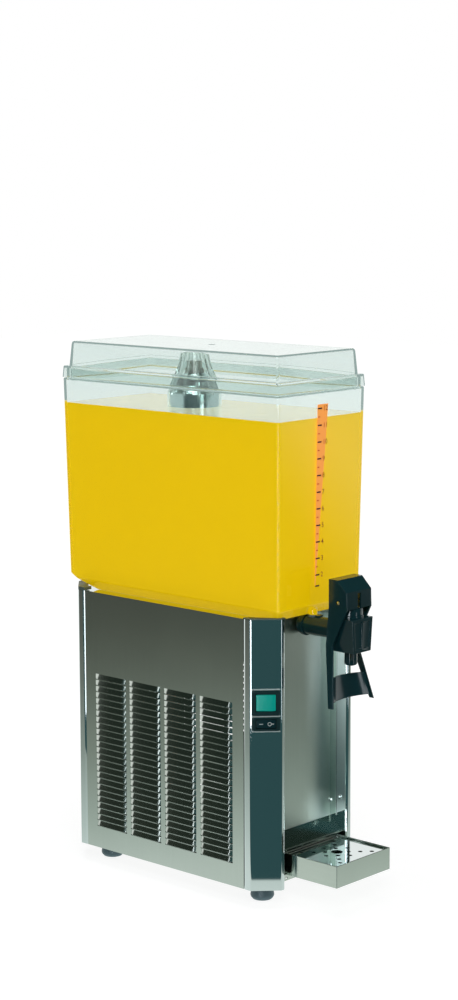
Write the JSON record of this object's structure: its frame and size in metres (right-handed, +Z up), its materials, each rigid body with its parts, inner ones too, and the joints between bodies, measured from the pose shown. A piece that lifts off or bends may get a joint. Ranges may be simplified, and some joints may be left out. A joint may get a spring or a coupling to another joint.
{
  "type": "juice dispenser",
  "caption": "Refrigerated countertop juice dispenser: louvred steel cabinet, clear bowl with a spray pump over a cold column, push tap and drip tray.",
  "frame": {"origin": "centre of the bounding box's footprint, on the counter, at the soles of the feet", "axes": "+Z up, -Y towards the tap and drip tray (front), +X to the right seen from the front"},
  "size_m": [0.1928, 0.4408, 0.685],
  "materials": {
    "brushed_steel": "brushed",
    "mirror_steel": "mirror polished",
    "satin_steel": "satin",
    "zinc_plate": "zinc plated",
    "cap_plastic": "satin",
    "clear_plastic": "clear",
    "black_plastic": "gloss",
    "green_plastic": "gloss, translucent",
    "dark_rubber": "matt",
    "white_silicone": "matt",
    "black_enamel": "enamel",
    "copper": "drawn tube",
    "aluminium": "plain",
    "spring_steel": "bright",
    "white_plastic": "satin"
  },
  "bodies": {
    "cabinet": {"base_pan": "zinc_plate", "foot_front_left": "dark_rubber", "foot_front_right": "dark_rubber", "foot_rear_left": "dark_rubber", "foot_rear_right": "dark_rubber", "deck": "mirror_steel", "front_left_post": "mirror_steel", "front_right_post": "mirror_steel", "rear_left_post": "mirror_steel", "rear_right_post": "mirror_steel", "front_left_cap": "cap_plastic", "front_right_cap": "cap_plastic", "rear_left_cap": "cap_plastic", "rear_right_cap": "cap_plastic", "left_side_panel": "brushed_steel", "right_side_panel": "brushed_steel", "rear_panel": "brushed_steel", "cable_inlet": "black_plastic", "recess_panel": "brushed_steel", "tray_bracket": "satin_steel", "upper_switch_bezel": "black_plastic", "lower_switch_bezel": "black_plastic", "evaporator_seal": "dark_rubber", "spray_cover": "clear_plastic", "evaporator": "satin_steel", "compressor": "black_enamel", "compressor_grommet_front_left": "dark_rubber", "compressor_grommet_front_right": "dark_rubber", "compressor_grommet_rear_left": "dark_rubber", "compressor_grommet_rear_right": "dark_rubber", "condenser": "aluminium", "fan_shroud": "zinc_plate", "fan_motor": "black_enamel", "drive_motor": "black_enamel", "motor_bracket": "zinc_plate", "suction_line": "copper", "filter_drier": "copper", "liquid_line": "copper", "control_box": "white_plastic"},
    "pump_drive": {"drive_shaft": "spring_steel", "magnet_carrier": "white_plastic"},
    "pump": {"pump_impeller": "white_plastic"},
    "fan": {"fan_blades": "black_plastic"},
    "bowl": {"bowl": "clear_plastic", "outlet_seal": "dark_rubber", "tap_body": "black_plastic", "tap_collar": "black_plastic", "tap_bonnet": "black_plastic", "plunger_spring": "spring_steel"},
    "lid": {"lid": "clear_plastic"},
    "plunger": {"tap_plunger": "white_plastic", "plunger_seal": "white_silicone", "lever_pin": "spring_steel"},
    "lever": {"tap_lever": "black_plastic"},
    "green_switch": {"green_rocker": "green_plastic"},
    "black_switch": {"black_rocker": "black_plastic"},
    "tray": {"drip_tray": "satin_steel"},
    "grid": {"drip_grid": "mirror_steel"}
  },
  "joints": [
    {"name": "pump_drive_spin", "type": "hinge", "parent": "cabinet", "child": "pump_drive", "pos_m": [0, 0.0596, 0.48], "axis": [0, 0, 1], "continuous": true},
    {"name": "pump_spin", "type": "hinge", "parent": "cabinet", "child": "pump", "pos_m": [0, 0.0596, 0.65], "axis": [0, 0, 1], "continuous": true},
    {"name": "fan_spin", "type": "hinge", "parent": "cabinet", "child": "fan", "pos_m": [0, -0.0514, 0.124], "axis": [0, 1, 0], "continuous": true},
    {"name": "bowl_lift", "type": "slide", "parent": "cabinet", "child": "bowl", "axis": [0, 0, 1], "range_m": [0, 0.32]},
    {"name": "lid_lift", "type": "slide", "parent": "bowl", "child": "lid", "axis": [0, 0, 1], "range_m": [0, 0.12]},
    {"name": "lever_press", "type": "hinge", "parent": "bowl", "child": "lever", "pos_m": [0, -0.211, 0.3773], "axis": [1, 0, 0], "range_deg": [0, 15], "stiffness_Nm_per_rad": 0.29, "springref_deg": -24.64},
    {"name": "plunger_rise", "type": "slide", "parent": "bowl", "child": "plunger", "axis": [0, 0, 1], "range_m": [0, 0.0038], "deforming": ["plunger_spring"]},
    {"name": "green_switch_tilt", "type": "hinge", "parent": "cabinet", "child": "green_switch", "pos_m": [-0.07793, -0.12853, 0.261], "axis": [0, 0, 1], "range_deg": [0, 8]},
    {"name": "black_switch_tilt", "type": "hinge", "parent": "cabinet", "child": "black_switch", "pos_m": [-0.07793, -0.12853, 0.23475], "axis": [0, 0, 1], "range_deg": [0, 8]},
    {"name": "tray_pull", "type": "slide", "parent": "cabinet", "child": "tray", "axis": [0, -1, 0], "range_m": [0, 0.08]},
    {"name": "grid_lift", "type": "slide", "parent": "tray", "child": "grid", "axis": [0, 0, 1], "range_m": [0, 0.04]}
  ],
  "couplings": [
    {"joint": "pump_spin", "follows": "pump_drive_spin", "ratio": 1},
    {"joint": "plunger_rise", "follows": "lever_press", "m_per_rad": 0.01394}
  ]
}
